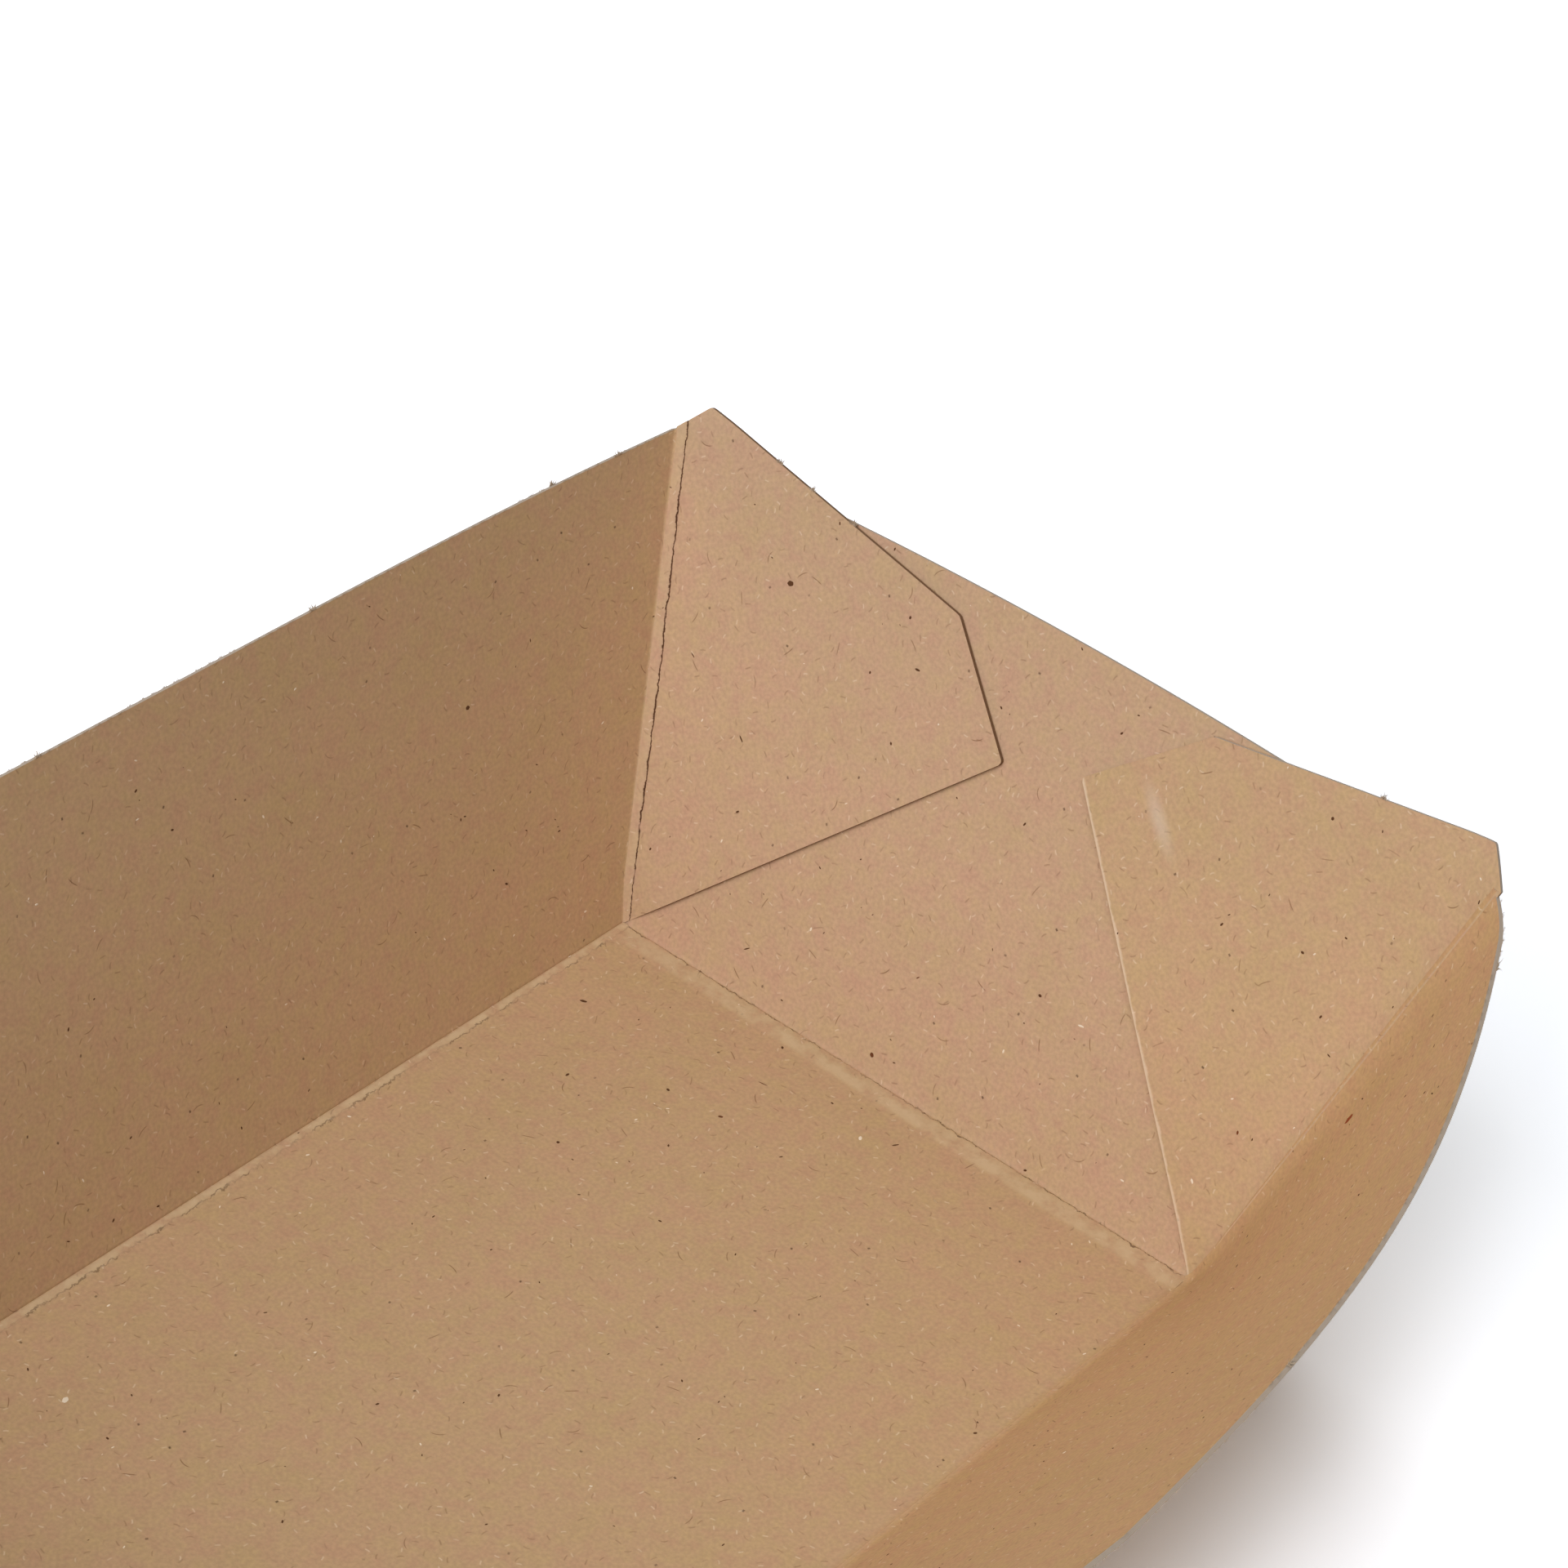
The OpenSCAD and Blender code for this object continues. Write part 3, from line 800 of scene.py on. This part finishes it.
def fleckTree():
    # known flecks drawn to the board's surface and others scattered over it, as flat grains
    tree, entry = newTree("boardFlecks", fleckForm)
    read = {
        name: addNode(tree, "GeometryNodeInputNamedAttribute", {"Name": name}, data_type=kind).outputs[0]
        for name, kind in (
            ("cutEdge", "FLOAT"), ("given", "FLOAT"), ("long", "FLOAT"), ("wide", "FLOAT"),
            ("turn", "FLOAT"), ("facing", "FLOAT_VECTOR"))}
    shortest, longest = [size * mm / 2 for size in flecks["size"]]
    length, slimness, lot, turn = [
        addNode(tree, "FunctionNodeRandomValue", {2: low, 3: high, 8: seed}, data_type="FLOAT").outputs[1]
        for low, high, seed in (
            (shortest, longest, 1), (*flecks["thin"], 2), (0.0, 1.0, 3), (0.0, flecks["turn"], 4))]
    face = addNode(
        tree, "FunctionNodeCompare", {0: read["cutEdge"], 1: 0.5}, data_type="FLOAT",
        operation="LESS_THAN").outputs[0]
    scattered = addNode(
        tree, "GeometryNodeDistributePointsOnFaces", {
            "Mesh": entry["Geometry"], "Selection": face, "Density": entry["Density"],
            "Seed": entry["Seed"]}).outputs
    width = addNode(tree, "ShaderNodeMath", {0: length, 1: slimness}, operation="MULTIPLY").outputs[0]
    pale = addNode(tree, "ShaderNodeMath", {0: lot, 1: flecks["pale"]}, operation="LESS_THAN").outputs[0]
    points = scattered["Points"]
    for name, value, kind in (
        ("long", length, "FLOAT"), ("wide", width, "FLOAT"), ("turn", turn, "FLOAT"),
        ("tone", pale, "FLOAT"), ("facing", scattered["Normal"], "FLOAT_VECTOR")):
        points = addNode(
            tree, "GeometryNodeStoreNamedAttribute", {"Geometry": points, "Name": name, "Value": value},
            data_type=kind, domain="POINT").outputs[0]
    known = addNode(
        tree, "FunctionNodeCompare", {0: read["given"], 1: 0.5}, data_type="FLOAT",
        operation="GREATER_THAN").outputs[0]
    known = addNode(
        tree, "GeometryNodeMeshToPoints", {"Mesh": entry["Geometry"], "Selection": known},
        mode="VERTICES").outputs[0]
    surface = addNode(
        tree, "GeometryNodeProximity", {0: entry["Geometry"]}, target_element="FACES").outputs["Position"]
    known = addNode(tree, "GeometryNodeSetPosition", {"Geometry": known, "Position": surface}).outputs[0]
    both = addNode(tree, "GeometryNodeJoinGeometry")
    for part in (points, known):
        tree.links.new(part, both.inputs[0])
    turned = addNode(
        tree, "FunctionNodeAlignRotationToVector", {"Vector": read["facing"]}, axis="Z").outputs[0]
    spin = addNode(
        tree, "FunctionNodeAxisAngleToRotation", {"Axis": (0, 0, 1), "Angle": read["turn"]}).outputs[0]
    turned = addNode(
        tree, "FunctionNodeRotateRotation", {"Rotation": turned, "Rotate By": spin},
        rotation_space="LOCAL").outputs[0]
    size = addNode(
        tree, "ShaderNodeCombineXYZ",
        {"X": read["long"], "Y": read["wide"], "Z": entry["Thickness"]}).outputs[0]
    grain = addNode(tree, "GeometryNodeMeshIcoSphere", {"Radius": 1.0, "Subdivisions": 1}).outputs[0]
    laid = addNode(
        tree, "GeometryNodeInstanceOnPoints",
        {"Points": both.outputs[0], "Instance": grain, "Rotation": turned, "Scale": size}).outputs[0]
    return endTree(tree, laid, entry["Material"])


def fleckMatter():
    # bits of bark and knots pressed into the pulp: dark or red-brown, some pale, all matt
    material, tree = newMaterial("bark_fleck")
    tone = addNode(tree, "ShaderNodeAttribute", attribute_name="tone").outputs["Fac"]
    color = linearColor(flecks["dark"])
    for start, tint in flecks["tones"].items():
        share = addNode(
            tree, "ShaderNodeMapRange",
            {"Value": tone, "From Min": start, "From Max": start + 0.5}).outputs[0]
        color = layTint(tree, color, share, tint, 1.0)
    surface = addNode(
        tree, "ShaderNodeBsdfPrincipled",
        {"Base Color": color, "Roughness": 0.85, "Specular IOR Level": 0.2})
    addNode(tree, "ShaderNodeOutputMaterial", {"Surface": surface.outputs[0]})
    return material


grains = growMesh("board_flecks", fleckMesh, fleckTree(), {**fleckForm, "Material": fleckMatter()})
print("flecks laid:", len(grains.data.polygons), "faces")
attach(grains, "root")

# the blank was held in the die by small nicks: each left a tuft of torn fibres on the edge, and the
# whole cut edge is slightly fuzzy; places are along the wall for the rims and across and up for the flaps
tufts = {
    "far": (73.4, 65.2, 31.5, -2.2, -34, -66), "near": (73.6, 24, -30, -72),
    "flap": ((36.7, 51.2), (32.1, 51.0), (26.5, 50.0), (-34.8, 51.5)),
    "count": 16, "length": 0.75, "radius": 0.05, "tuftWide": 0.4, "fuzzStep": 1.6, "fuzzSize": 0.35,
    "endMargin": 1, "tip": 0.25, "bow": 5.0, "spin": 3.14, "tilt": 0.9, "shortest": 0.4, "tint": "#B7A48C",
}
tuftForm = {
    "Count": tufts["count"], "Length": tufts["length"] * mm, "Radius": tufts["radius"] * mm,
    "Width": tufts["tuftWide"] * mm,
}
roots = []
for name, wall in longWalls.items():
    creaseX = halfLength - blank["sideHeight"] / math.tan(creaseOf(wall["splay"])[0]) - tufts["endMargin"]
    fuzz = np.arange(-creaseX, creaseX, tufts["fuzzStep"])
    for x, size in [(x, 1.0) for x in tufts[name]] + [(x, tufts["fuzzSize"]) for x in fuzz]:
        top, low, beside = [
            wallPoints(np.array(x + a), np.array(blank["sideHeight"] - b), wall)
            for a, b in ((0, 0), (0, 0.1), (0.1, 0))]
        away = wallSpot(x, blank["sideHeight"] - 0.1, name)[1]
        roots.append((*(top - away * board / 2) * mm, *(top - low) * 10, *(beside - top) * 10, size))
for across, up in tufts["flap"]:
    for end in (-1, 1):
        spot = endPoints(across, up, -board * 1.5, end)
        roots.append((*spot * mm, end * math.sin(endLean), 0, math.cos(endLean), 0, 1, 0, 1.0))
roots = np.array(roots)
sheetPoints = np.zeros(len(sheet.data.vertices) * 3)
sheet.data.vertices.foreach_get("co", sheetPoints)
sheetPoints = sheetPoints.reshape(-1, 3)
for root in roots:
    # each tuft starts on the sheet itself
    root[:3] = sheetPoints[np.argmin(((sheetPoints - root[:3]) ** 2).sum(1))]
rootMesh = bpy.data.meshes.new("tuftRoots")
rootMesh.from_pydata(roots[:, :3].tolist(), [], [])
markPoints(rootMesh, 0, out=roots[:, 3:6], along=roots[:, 6:9], size=roots[:, 9])


def tuftTree():
    # short tapered fibres that lean every way out of a cut edge
    tree, entry = newTree("tornFibres", tuftForm)
    size, out, along = [
        addNode(tree, "GeometryNodeInputNamedAttribute", {"Name": name}, data_type=kind).outputs[0]
        for name, kind in (("size", "FLOAT"), ("out", "FLOAT_VECTOR"), ("along", "FLOAT_VECTOR"))]
    aside, spin, tilt, height = [
        addNode(tree, "FunctionNodeRandomValue", {2: low, 3: high, 8: seed}, data_type="FLOAT").outputs[1]
        for low, high, seed in (
            (-1.0, 1.0, 11), (-tufts["spin"], tufts["spin"], 12), (-tufts["tilt"], tufts["tilt"], 13),
            (tufts["shortest"], 1.0, 14))]
    points = addNode(
        tree, "GeometryNodeMeshToPoints", {"Mesh": entry["Geometry"]}, mode="VERTICES").outputs[0]
    points = addNode(
        tree, "GeometryNodeDuplicateElements", {"Geometry": points, "Amount": entry["Count"]},
        domain="POINT").outputs[0]
    aside = addNode(tree, "ShaderNodeMath", {0: aside, 1: entry["Width"]}, operation="MULTIPLY").outputs[0]
    aside = addNode(tree, "ShaderNodeVectorMath", {0: along, 3: aside}, operation="SCALE").outputs[0]
    points = addNode(tree, "GeometryNodeSetPosition", {"Geometry": points, "Offset": aside}).outputs[0]
    fibre = addNode(
        tree, "GeometryNodeMeshCone", {
            "Vertices": 4, "Side Segments": 3, "Radius Top": tufts["tip"], "Radius Bottom": 1.0,
            "Depth": 1.0}).outputs[0]
    axes = addNode(
        tree, "ShaderNodeSeparateXYZ", {0: addNode(tree, "GeometryNodeInputPosition").outputs[0]}).outputs
    bow = addNode(tree, "ShaderNodeMath", {0: axes[2], 1: 2.0}, operation="POWER").outputs[0]
    bow = addNode(tree, "ShaderNodeMath", {0: bow, 1: tufts["bow"]}, operation="MULTIPLY").outputs[0]
    bow = addNode(tree, "ShaderNodeCombineXYZ", {"X": bow}).outputs[0]
    fibre = addNode(tree, "GeometryNodeSetPosition", {"Geometry": fibre, "Offset": bow}).outputs[0]
    turned = addNode(tree, "FunctionNodeAlignRotationToVector", {"Vector": out}, axis="Z").outputs[0]
    for axis, angle in (((0, 0, 1), spin), ((1, 0, 0), tilt)):
        by = addNode(tree, "FunctionNodeAxisAngleToRotation", {"Axis": axis, "Angle": angle}).outputs[0]
        turned = addNode(
            tree, "FunctionNodeRotateRotation", {"Rotation": turned, "Rotate By": by},
            rotation_space="LOCAL").outputs[0]
    tall = addNode(tree, "ShaderNodeMath", {0: height, 1: entry["Length"]}, operation="MULTIPLY").outputs[0]
    tall = addNode(tree, "ShaderNodeMath", {0: tall, 1: size}, operation="MULTIPLY").outputs[0]
    slim = addNode(tree, "ShaderNodeMath", {0: size, 1: entry["Radius"]}, operation="MULTIPLY").outputs[0]
    scale = addNode(tree, "ShaderNodeCombineXYZ", {"X": slim, "Y": slim, "Z": tall}).outputs[0]
    grown = addNode(
        tree, "GeometryNodeInstanceOnPoints",
        {"Points": points, "Instance": fibre, "Rotation": turned, "Scale": scale}).outputs[0]
    return endTree(tree, grown, entry["Material"])


def fibreMatter():
    # torn ends of the pulp: greyish, matt fibres
    material, tree = newMaterial("torn_kraft_fibre")
    surface = addNode(
        tree, "ShaderNodeBsdfPrincipled",
        {"Base Color": linearColor(tufts["tint"]), "Roughness": 0.9, "Specular IOR Level": 0.2})
    addNode(tree, "ShaderNodeOutputMaterial", {"Surface": surface.outputs[0]})
    return material


fringe = growMesh("edge_tufts", rootMesh, tuftTree(), {**tuftForm, "Material": fibreMatter()})
print("edge tufts:", len(fringe.data.polygons), "faces")
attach(fringe, "root")

# floor, light and camera
studio = {
    "floor": "#F2F2F0", "floorSeen": (1.76, 1.82, 1.89), "floorReach": 2, "sky": 0.087, "lampDistance": 0.75,
    "lamps": {  # direction the light comes from and its height in degrees, width in metres, power and colour
        "windowLow": (180, 30, 0.5, 2.95, (0.98, 0.99, 1.05)),
        "windowHigh": (180, 57, 0.4, 1.4, (0.98, 0.99, 1.05)),
        "leftLight": (228, 68, 0.35, 1.55, (1, 1, 1)),
        "farLight": (50, 40, 0.35, 0.88, (1, 1, 1)),
        "topLight": (0, 70, 0.35, 0.23, (1, 1, 1)),
    },
}
floorMesh = bpy.data.meshes.new("floor")
floorCorners = [
    (x * studio["floorReach"], y * studio["floorReach"], 0)
    for x, y in ((-1, -1), (1, -1), (1, 1), (-1, 1))]
floorMesh.from_pydata(floorCorners, [], [(0, 1, 2, 3)])
floor = bpy.data.objects.new("floor", floorMesh)
bpy.context.scene.collection.objects.link(floor)


def seenRays(tree):
    # 1 for camera, glossy and transmission rays, 0 for those that light the scene
    ray = addNode(tree, "ShaderNodeLightPath").outputs
    seen = addNode(
        tree, "ShaderNodeMath", {0: ray["Is Camera Ray"], 1: ray["Is Glossy Ray"]},
        operation="MAXIMUM").outputs[0]
    return addNode(
        tree, "ShaderNodeMath", {0: seen, 1: ray["Is Transmission Ray"]}, operation="MAXIMUM").outputs[0]


def floorPaint():
    # a white sweep: camera, glossy and transmission rays see it lit up to white, with the shadow kept
    material, tree = newMaterial("matt_white_floor")
    tone = addNode(
        tree, "ShaderNodeMix",
        {0: seenRays(tree), 6: linearColor(studio["floor"]), 7: (*studio["floorSeen"], 1)},
        data_type="RGBA").outputs[2]
    paint = addNode(tree, "ShaderNodeBsdfDiffuse", {"Color": tone})
    below = addNode(tree, "ShaderNodeNewGeometry").outputs["Backfacing"]
    clear = addNode(tree, "ShaderNodeBsdfTransparent")
    both = addNode(tree, "ShaderNodeMixShader", {0: below, 1: paint.outputs[0], 2: clear.outputs[0]})
    addNode(tree, "ShaderNodeOutputMaterial", {"Surface": both.outputs[0]})
    return material


floorMesh.materials.append(floorPaint())

world = bpy.data.worlds.new("paleRoom")
bpy.context.scene.world = world
world.use_nodes = True
world.node_tree.nodes.clear()
level = addNode(
    world.node_tree, "ShaderNodeMapRange",
    {"Value": seenRays(world.node_tree), "To Min": studio["sky"], "To Max": 1.0}).outputs[0]
sky = addNode(world.node_tree, "ShaderNodeBackground", {"Color": (1, 1, 1, 1), "Strength": level})
addNode(world.node_tree, "ShaderNodeOutputWorld", {"Surface": sky.outputs[0]})

for name, (around, above, width, power, tint) in studio["lamps"].items():
    light = bpy.data.lights.new(name, "AREA")
    light.shape, light.size, light.energy, light.color = "SQUARE", width, power, tint
    level, height = math.cos(math.radians(above)), math.sin(math.radians(above))
    toward = Vector(
        (level * math.cos(math.radians(around)), level * math.sin(math.radians(around)), height))
    lamp = bpy.data.objects.new(name, light)
    lamp.location = toward * studio["lampDistance"]
    lamp.rotation_euler = (-toward).to_track_quat("-Z", "Y").to_euler()
    bpy.context.scene.collection.objects.link(lamp)

shot = {
    "place": (-0.226341, -0.178535, 0.289176), "lens": 103.52, "sensor": 36, "clip": (0.01, 10),
    "right": (0.630973, -0.765697, 0.124824), "up": (0.399698, 0.458744, 0.793597),
}
camera = bpy.data.objects.new("camera", bpy.data.cameras.new("camera"))
camera.data.lens, camera.data.sensor_width = shot["lens"], shot["sensor"]
camera.data.clip_start, camera.data.clip_end = shot["clip"]
right, up = Vector(shot["right"]).normalized(), Vector(shot["up"]).normalized()
back = right.cross(up).normalized()
camera.matrix_world = Matrix.Translation(shot["place"]) @ Matrix((right, up, back)).transposed().to_4x4()
bpy.context.scene.collection.objects.link(camera)
bpy.context.scene.camera = camera
bpy.context.scene.view_settings.view_transform = "Standard"
print("studio ready")
